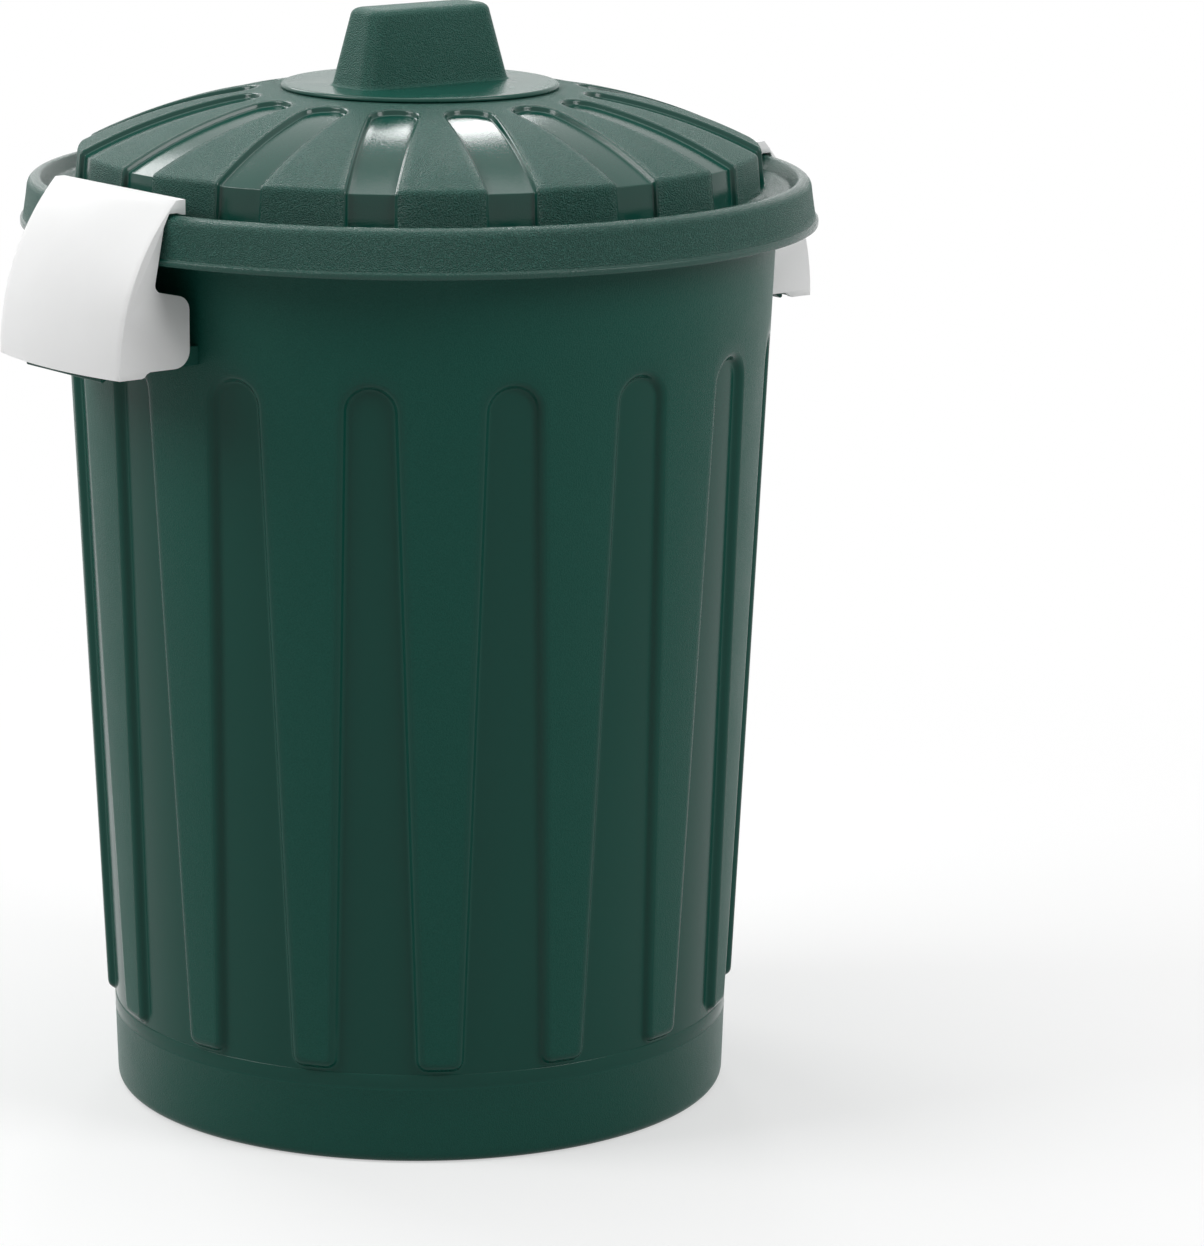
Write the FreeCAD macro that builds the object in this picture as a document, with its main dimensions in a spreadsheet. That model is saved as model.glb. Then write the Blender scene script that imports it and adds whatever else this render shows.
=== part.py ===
import FreeCAD, Part
import Sketcher
import os

# A round moulded polypropylene bin: a fluted tapered tub, a ribbed domed lid with a press-in
# grip, and two clip handles that hook over the lid's rim and swing on the tub's two ears.
# Millimetres, +Z up, origin on the floor at the bin's centre; the clip handles lie on the X axis.

doc = FreeCAD.newDocument("moulded_bin")

# ---------------------------------------------------------------- driving dimensions

SIZES = [
    # tub
    ("lip_height", 468.0, "bottom edge of the lid's rim over the floor"),
    ("tub_top_radius", 188.2, "outside of the ribs, carried up to the lip height"),
    ("tub_taper", 18.4, "ribs' outside is this much smaller at their lower ends"),
    ("tub_wall", 2.4, "wall of the tub"),
    ("flute_count", 16.0, "flutes round the tub, and grooves round the lid"),
    ("flute_top_drop", 57.0, "tops of the flutes' arches below the lip height"),
    ("flute_top_half", 11.8, "half width of a flute's floor under its arch"),
    ("flute_low_half", 20.0, "half width of its floor at the ribs' lower ends"),
    ("flute_depth", 4.0, "flutes below the ribs' surface"),
    ("flute_draft", 34.0, "slope of a flute's side walls, in degrees"),
    ("rib_end_height", 52.4, "lower ends of the ribs over the floor"),
    ("rib_corner_round", 3.0, "rounded lower corners of a rib"),
    ("base_band_drop", 4.6, "plain band round the foot, below the ribs' ends"),
    ("base_band_step", 0.4, "that band's edge out of the flutes' floor"),
    ("foot_draw", 1.3, "how far the band draws in down to the floor"),
    ("foot_round", 5.0, "rounded bottom corner"),
    ("foot_ring_width", 10.0, "ring that the bin stands on"),
    ("foot_recess", 4.0, "bottom raised inside that ring"),
    ("rim_skirt", 13.0, "height of the tub's turned-down rim"),
    ("rim_fit", 1.3, "tub's rim inside the lid's band, at the crest"),
    ("rim_grow", 1.0, "how much wider the band is round the tub's rim than at the crest"),
    ("seat_gap", 0.3, "between pieces that rest on or in each other"),
    # lid rim
    ("rim_reach", 21.8, "the lid's lip outside the tub's wall"),
    ("lip_flange", 2.8, "height of the small flange at the bottom of the rim"),
    ("lip_step", 1.5, "how far the flange stands out of the band above it"),
    ("rim_rise", 24.5, "crest of the lid's rim over its bottom edge"),
    ("band_lean", 3.0, "how far the rim's outer band leans in up to the crest"),
    ("crest_width", 6.2, "flat of the crest before rounding"),
    ("crest_round", 5.4, "outer rounding of the crest"),
    ("crest_inner_round", 2.4, "inner rounding of the crest"),
    ("gutter_drop", 6.5, "gutter floor below the crest"),
    ("gutter_slope", 4.6, "radial width of the slope from the crest to the gutter"),
    ("lid_wall", 2.2, "wall of the lid"),
    # lid dome
    ("dome_inset", 6.9, "foot of the dome's upright wall inside the tub's wall"),
    ("dome_wall_height", 21.0, "upright wall over the gutter floor"),
    ("dome_wall_lean", 1.9, "how far that wall leans in"),
    ("dome_shoulder_round", 3.6, "rounding between the wall and the dome"),
    ("dome_arc", 289.0, "radius of the dome's section"),
    ("plateau_rise", 51.6, "flat middle of the lid over the gutter floor"),
    ("plateau_radius", 74.0, "radius of that flat middle"),
    ("groove_depth", 2.8, "depth of the lid's radial grooves"),
    ("groove_width", 25.0, "width of a groove"),
    ("groove_margin", 13.0, "inner tips of the grooves from the flat middle"),
    # lid grip
    ("disc_margin", 1.0, "round flange of the grip inside the flat middle's edge"),
    ("disc_thickness", 2.8, "thickness of that flange"),
    ("disc_round", 1.6, "rounded top edge of the flange"),
    ("disc_overlap", 13.0, "flange that lies on the lid round its hole"),
    ("spigot_drop", 8.0, "ring below the flange that goes through the lid"),
    ("spigot_bead", 1.2, "snap bead that stands out under the lid"),
    ("spigot_bead_height", 2.4, "height of the snap bead"),
    ("grip_base_length", 96.0, "hand block at the flange, along the handles' axis"),
    ("grip_base_width", 36.0, "hand block at the flange, across it"),
    ("grip_top_length", 76.0, "hand block at its top, along"),
    ("grip_top_width", 27.0, "hand block at its top, across"),
    ("grip_height", 40.5, "hand block over the flange"),
    ("grip_corner_round", 8.0, "upright corners of the hand block"),
    ("grip_top_round", 4.0, "rounded top edge of the hand block"),
    ("grip_wall", 2.4, "wall of the grip"),
    # clip handles
    ("clip_half_width", 54.4, "half the width of a clip handle"),
    ("clip_wall", 2.0, "wall of a clip handle"),
    ("clip_top_rise", 7.5, "flat top of the clip over the rim's crest"),
    ("clip_top_inset", 9.7, "outer edge of that top inside the lip"),
    ("clip_bottom_drop", 57.0, "bottom of the clip's outer skin below the lip"),
    ("clip_bottom_reach", 24.1, "outside of the skin at its bottom beyond the lip"),
    ("clip_skin_arc", 127.0, "radius of the skin's section"),
    ("clip_corner_share", 0.43, "share of the wall that the inner arc ends inside the top corner"),
    ("hook_inset", 12.0, "inner face of the hook inside the crest's inner edge"),
    ("hook_catch", 0.2, "hook's bottom edge below the top of the crest"),
    ("notch_gap", 1.0, "cheek's notch over the rim's crest"),
    ("notch_side_gap", 1.6, "cheek's notch outside the rim's band"),
    ("notch_open", 3.3, "bottom of the notch outside the lip"),
    ("notch_drop", 12.5, "bottom of the notch below the lip"),
    ("notch_round", 4.0, "rounded corner at the bottom of the notch"),
    ("tab_inset", 2.6, "inner edge of the cheek's tab inside the tub's radius"),
    ("tab_slope", 4.5, "fall of the tab's top edge towards the tub"),
    ("tab_bottom_drop", 53.0, "bottom of the tab below the lip"),
    ("tab_round", 9.0, "rounded corners of the tab"),
    ("heel_inset", 4.0, "step in the cheek's bottom edge, inside the pivot"),
    ("heel_drop", 2.5, "height of that step"),
    # hinge of the clip handles
    ("pivot_reach", 7.0, "pivot line outside the lip"),
    ("pivot_drop", 49.0, "pivot line below the lip"),
    ("pin_radius", 3.2, "stub pins inside the cheeks"),
    ("pin_length", 5.0, "stub pins inward of the cheek"),
    ("pin_clearance", 0.08, "running clearance round a pin"),
    ("ear_bar_radius", 6.4, "round outer bar of the tub's ear"),
    ("ear_side_gap", 0.6, "ear between the cheeks"),
    ("ear_plate", 3.0, "shelf and side webs of the ear"),
    ("ear_web_drop", 3.4, "side webs below the pivot line"),
]

# Sizes that several pieces share, worked out once from the ones above. The tub's turned solids
# start and end at seam_turn, within a rib, so that their seam crosses no flute's outline.
SHARED = [
    ("lip_radius", "sizes.tub_top_radius + sizes.rim_reach"),
    ("crest_height", "sizes.lip_height + sizes.rim_rise"),
    ("gutter_height", "crest_height - sizes.gutter_drop"),
    ("gutter_under", "gutter_height - sizes.lid_wall"),
    ("band_foot", "lip_radius - sizes.lip_step"),
    ("band_top", "band_foot - sizes.band_lean"),
    ("crest_inner", "band_top - sizes.crest_width"),
    ("gutter_outer", "crest_inner - sizes.gutter_slope"),
    ("dome_radius", "sizes.tub_top_radius - sizes.dome_inset"),
    ("plateau_height", "gutter_height + sizes.plateau_rise"),
    ("rim_top", "gutter_under - sizes.seat_gap"),
    ("rim_outer", "band_top - sizes.lid_wall - sizes.rim_fit + sizes.rim_grow"),
    ("rib_end_radius", "sizes.tub_top_radius - sizes.tub_taper"),
    ("taper", "sizes.tub_taper / (sizes.lip_height - sizes.rib_end_height)"),
    ("floor_radius", "rib_end_radius - taper * sizes.rib_end_height"),
    ("flute_top", "sizes.lip_height - sizes.flute_top_drop"),
    ("flute_reach", "sizes.flute_depth + 1.5 * sizes.tub_wall"),
    ("flute_slope", "tan(sizes.flute_draft * 1deg)"),
    ("flute_narrow", "sizes.tub_wall * flute_slope"),
    ("flute_spread", "(sizes.flute_depth + sizes.tub_wall) * flute_slope"),
    ("flute_full_spread", "flute_reach * flute_slope"),
    ("flute_pitch_half", "rib_end_radius * tan(180deg / sizes.flute_count)"),
    ("seam_turn", "4.4 * 360deg / sizes.flute_count"),
    ("band_height", "sizes.rib_end_height - sizes.base_band_drop"),
    ("spigot_radius", "sizes.plateau_radius - sizes.disc_margin - sizes.disc_overlap"),
    ("clip_top", "crest_height + sizes.clip_top_rise"),
    ("clip_bottom", "sizes.lip_height - sizes.clip_bottom_drop"),
    ("clip_top_radius", "lip_radius - sizes.clip_top_inset"),
    ("clip_bottom_radius", "lip_radius + sizes.clip_bottom_reach"),
    ("clip_inside", "sizes.clip_half_width - sizes.clip_wall"),
    ("hook_reach", "crest_inner - sizes.hook_inset"),
    ("hook_bottom", "crest_height - sizes.hook_catch"),
    ("pivot_x", "lip_radius + sizes.pivot_reach"),
    ("pivot_z", "sizes.lip_height - sizes.pivot_drop"),
    ("ear_half", "clip_inside - sizes.ear_side_gap"),
]

sizes = doc.addObject("Spreadsheet::Sheet", "sizes")
for row, (alias, value, meaning) in enumerate(SIZES, start=1):
    sizes.set("A%d" % row, alias)
    sizes.set("B%d" % row, str(value))
    sizes.set("C%d" % row, meaning)
    sizes.setAlias("B%d" % row, alias)
doc.recompute()

shared = doc.addObject("Spreadsheet::Sheet", "shared")
for row, (alias, formula) in enumerate(SHARED, start=1):
    shared.set("A%d" % row, alias)
    shared.set("B%d" % row, "=" + formula)
    shared.setAlias("B%d" % row, alias)
    doc.recompute()


def number(formula):
    """What a formula of the two sheets gives at present."""
    return float(sizes.evalExpression(formula))


# ---------------------------------------------------------------- outlines and turned solids

def origin_part(body, role):
    return next(part for part in body.Origin.OriginFeatures if part.Role == role)


def outline_sketch(body, name, role, corners):
    """A closed outline on one of the body's planes. A corner is (across, up), both formulas.
    Two more entries bend the side that starts there: its radius, and +1 or -1 for the side of
    the chord that it bulges to, left or right of the way it runs."""
    sketch = body.newObject("Sketcher::SketchObject", name)
    sketch.AttachmentSupport = [(origin_part(body, role), "")]
    sketch.MapMode = "FlatFace"
    spots = [FreeCAD.Vector(number(c[0]), number(c[1]), 0) for c in corners]
    sides = []
    for index, corner in enumerate(corners):
        start = spots[index]
        stop = spots[(index + 1) % len(spots)]
        if len(corner) == 2:
            side = sketch.addGeometry(Part.LineSegment(start, stop), False)
            sides.append((side, 1, 2))
            continue
        radius = number(corner[2])
        chord = stop - start
        across = FreeCAD.Vector(-chord.y, chord.x, 0).normalize() * corner[3]
        rise = radius - max(radius ** 2 - chord.Length ** 2 / 4, 0.0) ** 0.5
        crown = (start + stop) / 2 + across * rise
        # a sketch keeps its arcs anticlockwise, so one that bulges to the left is drawn backwards
        if corner[3] > 0:
            side = sketch.addGeometry(Part.Arc(stop, crown, start), False)
            sides.append((side, 2, 1))
        else:
            side = sketch.addGeometry(Part.Arc(start, crown, stop), False)
            sides.append((side, 1, 2))
    for index, (side, _, last) in enumerate(sides):
        after, first, _ = sides[(index + 1) % len(sides)]
        sketch.addConstraint(Sketcher.Constraint("Coincident", side, last, after, first))
    for corner, spot, (side, first, _) in zip(corners, spots, sides):
        held = [("DistanceX", corner[0], spot.x), ("DistanceY", corner[1], spot.y)]
        for kind, formula, now in held:
            tag = sketch.addConstraint(Sketcher.Constraint(kind, -1, 1, side, first, now))
            sketch.setExpression("Constraints[%d]" % tag, formula)
        if len(corner) > 2:
            tag = sketch.addConstraint(Sketcher.Constraint("Radius", side, number(corner[2])))
            sketch.setExpression("Constraints[%d]" % tag, corner[2])
    return sketch


def add_fillet(body, name, edges, radius):
    base = body.Tip
    rounding = body.newObject("PartDesign::Fillet", name)
    rounding.Base = (base, edges)
    rounding.setExpression("Radius", radius)
    body.Tip = rounding
    doc.recompute()


def ring_edges(shape, radius, height):
    """Names of the circles round the bin's axis at a radius and height."""
    names = []
    for index, edge in enumerate(shape.Edges, start=1):
        curve = edge.Curve
        if isinstance(curve, Part.Circle) and abs(curve.Radius - radius) < 0.01:
            if abs(curve.Center.z - height) < 0.01:
                names.append("Edge%d" % index)
    return names


def turned_body(name, corners, rounded=(), seam="0deg"):
    """A solid turned about the bin's axis; rounded lists (radius, height, rounding), and seam
    is the angle at which the turning starts and ends."""
    body = doc.addObject("PartDesign::Body", name)
    section = outline_sketch(body, name + "_section", "XZ_Plane", corners)
    round_up = FreeCAD.Rotation(FreeCAD.Vector(0, 1, 0), number("(%s) / 1deg" % seam))
    section.AttachmentOffset = FreeCAD.Placement(FreeCAD.Vector(), round_up)
    section.setExpression("AttachmentOffset.Rotation.Angle", seam)
    turn = body.newObject("PartDesign::Revolution", name + "_turn")
    turn.Profile = section
    turn.ReferenceAxis = (section, ["V_Axis"])
    turn.Angle = 360
    doc.recompute()
    for index, (radius, height, rounding) in enumerate(rounded):
        edges = ring_edges(body.Tip.Shape, number(radius), number(height))
        add_fillet(body, "%s_round_%d" % (name, index), edges, rounding)
    return body


def repeat_round(body, feature, name):
    """Repeats a feature round the bin's axis, once for each flute."""
    pattern = body.newObject("PartDesign::PolarPattern", name)
    pattern.Originals = [feature]
    pattern.Axis = (origin_part(body, "Z_Axis"), [""])
    pattern.Angle = 360
    pattern.setExpression("Occurrences", "sizes.flute_count")
    body.Tip = pattern
    doc.recompute()


def joined(kind, name, pieces):
    """A fuse, or a cut of the second piece out of the first."""
    result = doc.addObject(kind, name)
    if kind == "Part::MultiFuse":
        result.Shapes = pieces
    else:
        result.Base, result.Tool = pieces
    doc.recompute()
    return result


# ---------------------------------------------------------------- tub

def plain_tub(name, inset, bottom):
    """The smooth tub: flute floors, base band and foot, drawn in by inset."""
    floor_at_band = "shared.floor_radius + shared.taper * shared.band_height - sizes.flute_depth"
    floor_at_top = "shared.floor_radius + shared.taper * shared.rim_top - sizes.flute_depth"
    band = floor_at_band + " + sizes.base_band_step"
    corners = [
        ("0", bottom),
        (band + " - sizes.foot_draw - " + inset, bottom),
        (band + " - " + inset, "shared.band_height"),
        (floor_at_band + " - " + inset, "shared.band_height + sizes.base_band_step"),
        (floor_at_top + " - " + inset, "shared.rim_top"),
        ("0", "shared.rim_top"),
    ]
    foot = (band + " - sizes.foot_draw - " + inset, bottom, "sizes.foot_round")
    return turned_body(name, corners, [foot], "shared.seam_turn")


def flute_outline(body, name, inset, low, bottom, out):
    """Outline of a flute's cutter on a plane that leans with the wall, out beyond the plane
    one wall behind the flute's floor. At the bottom it spreads to both sides, so that
    neighbouring flutes meet under a rib and round its lower corners."""
    spread = "%s * shared.flute_slope" % out
    half = "(sizes.flute_top_half - shared.flute_narrow + %s)" % spread
    wide = "(sizes.flute_low_half - shared.flute_narrow + %s)" % spread
    arch = "(shared.flute_top - shared.flute_spread + %s)" % spread
    foot = "(%s - shared.flute_spread + %s)" % (low, spread)
    corner = "(sizes.rib_corner_round + shared.flute_full_spread - %s)" % spread
    edge = "shared.flute_pitch_half"
    corners = [
        ("-" + edge, bottom),
        (edge, bottom),
        (edge, foot),
        (wide + " + " + corner, foot, corner, 1),
        (wide, foot + " + " + corner),
        (half, arch + " - " + half, half, -1),
        ("0", arch, half, -1),
        ("-" + half, arch + " - " + half),
        ("-" + wide, foot + " + " + corner, corner, 1),
        ("-(%s + %s)" % (wide, corner), foot),
        ("-" + edge, foot),
    ]
    sketch = outline_sketch(body, name, "YZ_Plane", corners)
    lean = FreeCAD.Rotation(FreeCAD.Vector(1, 0, 0), number("atan(shared.taper) / 1deg"))
    sketch.AttachmentOffset = FreeCAD.Placement(FreeCAD.Vector(), lean)
    sketch.setExpression("AttachmentOffset.Rotation.Angle", "atan(shared.taper)")
    sketch.setExpression("AttachmentOffset.Base.z",
                         "shared.floor_radius - %s - sizes.flute_depth - sizes.tub_wall + %s"
                         % (inset, out))
    return sketch


def ribbed_tub(name, inset):
    """The tub at the ribs' surface, drawn in by inset, with the flutes cut out of it."""
    low = "sizes.rib_end_height + " + inset
    bottom = low + " - 2 * sizes.flute_depth"
    corners = [
        ("0", bottom),
        ("shared.floor_radius + shared.taper * (%s) - %s" % (bottom, inset), bottom),
        ("shared.floor_radius + shared.taper * shared.rim_top - " + inset, "shared.rim_top"),
        ("0", "shared.rim_top"),
    ]
    body = turned_body(name, corners, seam="shared.seam_turn")
    beyond = bottom + " - sizes.flute_depth"
    deep = flute_outline(body, name + "_flute_deep", inset, low, beyond, "0")
    outer = flute_outline(body, name + "_flute_outer", inset, low, beyond, "shared.flute_reach")
    flute = body.newObject("PartDesign::SubtractiveLoft", name + "_flute")
    flute.Profile = deep
    flute.Sections = [outer]
    flute.Ruled = True
    doc.recompute()
    repeat_round(body, flute, name + "_flutes")
    return body


def tub_rim():
    """The flat top of the rim, with its edge turned down inside the lid's band."""
    wall = "sizes.tub_wall"
    root = "sizes.tub_top_radius - " + wall
    corners = [
        (root, "shared.rim_top - " + wall),
        ("shared.rim_outer - " + wall, "shared.rim_top - " + wall),
        ("shared.rim_outer - " + wall, "shared.rim_top - sizes.rim_skirt"),
        ("shared.rim_outer", "shared.rim_top - sizes.rim_skirt"),
        ("shared.rim_outer", "shared.rim_top"),
        (root, "shared.rim_top"),
    ]
    return turned_body("tub_rim", corners)


def placed(kind, name, spans, spot):
    """A Part primitive with its sizes and its base point in formulas."""
    solid = doc.addObject(kind, name)
    for span, formula in spans.items():
        solid.setExpression(span, formula)
    for axis, formula in zip("xyz", spot):
        solid.setExpression("Placement.Base." + axis, formula)
    return solid


def ear(name, side):
    """One ear of the tub: a shelf with two side webs and a bored bar along its outer edge."""
    root = "(sizes.tub_top_radius - sizes.flute_depth - 2 * sizes.tub_wall)"
    reach = "(shared.pivot_x - %s)" % root
    near = root if side > 0 else "-shared.pivot_x"
    top = "shared.pivot_z + sizes.ear_bar_radius"
    shelf = placed(
        "Part::Box", name + "_shelf",
        {"Length": reach, "Width": "2 * shared.ear_half", "Height": "sizes.ear_plate"},
        (near, "-shared.ear_half", top + " - sizes.ear_plate"))
    pieces = [shelf]
    for tag, web_side in (("front", "-shared.ear_half"), ("back", "shared.ear_half - sizes.ear_plate")):
        pieces.append(placed(
            "Part::Box", "%s_web_%s" % (name, tag),
            {"Length": reach, "Width": "sizes.ear_plate",
             "Height": "sizes.ear_bar_radius + sizes.ear_web_drop"},
            (near, web_side, "shared.pivot_z - sizes.ear_web_drop")))
    along_y = FreeCAD.Rotation(FreeCAD.Vector(1, 0, 0), -90)
    rods = []
    for tag, radius, extra in (("bar", "sizes.ear_bar_radius", "0"),
                               ("bore", "sizes.pin_radius + sizes.pin_clearance", "1")):
        rod = doc.addObject("Part::Cylinder", "%s_%s" % (name, tag))
        rod.Placement = FreeCAD.Placement(FreeCAD.Vector(), along_y)
        rod.setExpression("Radius", radius)
        rod.setExpression("Height", "2 * (shared.ear_half + %s)" % extra)
        rod.setExpression("Placement.Base.x", "%d * shared.pivot_x" % side)
        rod.setExpression("Placement.Base.y", "-(shared.ear_half + %s)" % extra)
        rod.setExpression("Placement.Base.z", "shared.pivot_z")
        rods.append(rod)
    pieces.append(rods[0])
    return pieces, rods[1]


def make_tub():
    wall = "sizes.tub_wall"
    left_pieces, left_bore = ear("ear_left", -1)
    right_pieces, right_bore = ear("ear_right", 1)
    outside = joined("Part::MultiFuse", "tub_outside", [
        plain_tub("tub_plain_outside", "0", "0"),
        ribbed_tub("tub_ribs_outside", "0"),
        tub_rim(),
    ] + left_pieces + right_pieces)
    floor_top = "sizes.foot_recess + " + wall
    inside = joined("Part::MultiFuse", "tub_inside", [
        plain_tub("tub_plain_inside", wall, floor_top),
        ribbed_tub("tub_ribs_inside", wall),
    ])
    hollow = joined("Part::Cut", "tub_hollow", [outside, inside])
    recess = doc.addObject("Part::Cylinder", "tub_foot_recess")
    recess.setExpression("Radius", "shared.floor_radius - sizes.flute_depth - sizes.foot_round"
                                   " - sizes.foot_ring_width")
    recess.setExpression("Height", "sizes.foot_recess")
    cuts = joined("Part::MultiFuse", "tub_cuts", [recess, left_bore, right_bore])
    return joined("Part::Cut", "tub", [hollow, cuts])


# ---------------------------------------------------------------- lid

def dome(name, inset, grooved, groove_extra="0"):
    """The lid's dome and upright wall drawn in by inset, grooved or plain."""
    foot = "shared.dome_radius - " + inset
    shoulder = foot + " - sizes.dome_wall_lean"
    shoulder_height = "shared.gutter_height + sizes.dome_wall_height - " + inset
    plateau = "shared.plateau_height - " + inset
    low = "shared.gutter_under" if inset in ("0", "sizes.groove_depth") else "sizes.lip_height"
    corners = [
        ("0", low),
        (foot, low),
        (foot, "shared.gutter_height"),
        (shoulder, shoulder_height, "sizes.dome_arc", -1),
        ("sizes.plateau_radius", plateau),
        ("0", plateau),
    ]
    body = turned_body(name, corners, [(shoulder, shoulder_height, "sizes.dome_shoulder_round")])
    if not grooved:
        return body
    half = "sizes.groove_width / 2 + " + groove_extra
    centre = "sizes.plateau_radius + sizes.groove_margin + sizes.groove_width / 2"
    beyond = "shared.dome_radius + sizes.groove_width"
    outline = [
        (centre, "-(%s)" % half),
        (beyond, "-(%s)" % half),
        (beyond, half),
        (centre, half, half, -1),
        ("sizes.plateau_radius + sizes.groove_margin - " + groove_extra, "0", half, -1),
    ]
    sketch = outline_sketch(body, name + "_groove_outline", "XY_Plane", outline)
    groove = body.newObject("PartDesign::Pocket", name + "_groove")
    groove.Profile = sketch
    groove.Type = "ThroughAll"
    groove.SideType = "Symmetric"
    doc.recompute()
    repeat_round(body, groove, name + "_grooves")
    return body


def lid_rim():
    """Lip, leaning outer band, rounded crest and the gutter inside it, as one even wall."""
    wall = "sizes.lid_wall"
    root = "shared.dome_radius - " + wall
    flange_top = "sizes.lip_height + sizes.lip_flange"
    corners = [
        ("shared.lip_radius", "sizes.lip_height"),
        ("shared.lip_radius", flange_top),
        ("shared.band_foot", flange_top + " + sizes.lip_step / 2"),
        ("shared.band_top", "shared.crest_height"),
        ("shared.crest_inner", "shared.crest_height"),
        ("shared.gutter_outer", "shared.gutter_height"),
        (root, "shared.gutter_height"),
        (root, "shared.gutter_under"),
        ("shared.gutter_outer + " + wall + " / 2", "shared.gutter_under"),
        ("shared.crest_inner + " + wall + " / 2", "shared.crest_height - " + wall),
        ("shared.band_top - " + wall, "shared.crest_height - " + wall),
        ("shared.band_foot - " + wall, "sizes.lip_height"),
    ]
    rounded = [
        ("shared.band_top", "shared.crest_height", "sizes.crest_round"),
        ("shared.crest_inner", "shared.crest_height", "sizes.crest_inner_round"),
    ]
    return turned_body("lid_rim", corners, rounded)


def make_lid():
    wall = "sizes.lid_wall"
    groove_inside = "(sizes.groove_depth + sizes.lid_wall)"
    outside = joined("Part::MultiFuse", "lid_outside", [
        dome("dome_ribs_outside", "0", True),
        dome("dome_floor_outside", "sizes.groove_depth", False),
    ])
    inside = joined("Part::MultiFuse", "lid_inside", [
        dome("dome_ribs_inside", wall, True, wall),
        dome("dome_floor_inside", groove_inside, False),
    ])
    shell = joined("Part::Cut", "lid_shell", [outside, inside])
    whole = joined("Part::MultiFuse", "lid_whole", [shell, lid_rim()])
    hole = placed("Part::Cylinder", "lid_grip_hole",
                  {"Radius": "shared.spigot_radius + sizes.seat_gap",
                   "Height": "sizes.groove_depth + 2 * sizes.lid_wall"},
                  ("0", "0", "shared.plateau_height - sizes.groove_depth - sizes.lid_wall"))
    return joined("Part::Cut", "lid", [whole, hole])


# ---------------------------------------------------------------- lid grip

def hand_block(body, kind, name, bottom, top, slack):
    """A tapered block from one height to another, smaller by slack on every side."""
    block = body.newObject(kind, name)
    block.AttachmentSupport = [(origin_part(body, "XY_Plane"), "")]
    block.MapMode = "FlatFace"
    upright = FreeCAD.Rotation(FreeCAD.Vector(1, 0, 0), 90)
    block.AttachmentOffset = FreeCAD.Placement(FreeCAD.Vector(), upright)
    block.setExpression("AttachmentOffset.Base.z", bottom)
    spans = {"Xmax": "sizes.grip_base_length", "X2max": "sizes.grip_top_length",
             "Zmax": "sizes.grip_base_width", "Z2max": "sizes.grip_top_width"}
    for end, span in spans.items():
        block.setExpression(end, "%s / 2 - %s" % (span, slack))
        block.setExpression(end.replace("max", "min"), "-(%s / 2 - %s)" % (span, slack))
    block.setExpression("Ymin", "0")
    block.setExpression("Ymax", "%s - (%s)" % (top, bottom))
    body.Tip = block
    doc.recompute()


def edges_between(shape, low, high):
    """Names of the edges that run from one height to another."""
    names = []
    for index, edge in enumerate(shape.Edges, start=1):
        heights = sorted(vertex.Z for vertex in edge.Vertexes)
        if len(heights) == 2 and abs(heights[0] - low) < 0.01 and abs(heights[1] - high) < 0.01:
            names.append("Edge%d" % index)
    return names


def make_grip():
    disc_under = "shared.plateau_height"
    disc_top = disc_under + " + sizes.disc_thickness"
    disc_radius = "sizes.plateau_radius - sizes.disc_margin"
    bead_top = disc_under + " - sizes.lid_wall - sizes.seat_gap"
    bead_low = bead_top + " - sizes.spigot_bead_height"
    ring_low = disc_under + " - sizes.spigot_drop"
    ring = "shared.spigot_radius"
    corners = [
        ("0", disc_under),
        (ring + " - sizes.grip_wall", disc_under),
        (ring + " - sizes.grip_wall", ring_low),
        (ring, ring_low),
        (ring + " + sizes.spigot_bead", bead_low),
        (ring + " + sizes.spigot_bead", bead_top),
        (ring, bead_top),
        (ring, disc_under),
        (disc_radius, disc_under),
        (disc_radius, disc_top),
        ("0", disc_top),
    ]
    body = turned_body("lid_grip", corners, [(disc_radius, disc_top, "sizes.disc_round")])
    block_top = disc_top + " + sizes.grip_height"
    hand_block(body, "PartDesign::AdditiveWedge", "grip_block", disc_top, block_top, "0")
    upright = edges_between(body.Tip.Shape, number(disc_top), number(block_top))
    add_fillet(body, "grip_corners", upright, "sizes.grip_corner_round")
    rim = edges_between(body.Tip.Shape, number(block_top), number(block_top))
    add_fillet(body, "grip_top_edge", rim, "sizes.grip_top_round")
    hand_block(body, "PartDesign::SubtractiveWedge", "grip_hollow",
               disc_under + " - sizes.grip_wall", block_top + " - sizes.grip_wall",
               "sizes.grip_wall")
    return body


# ---------------------------------------------------------------- clip handles

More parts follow.
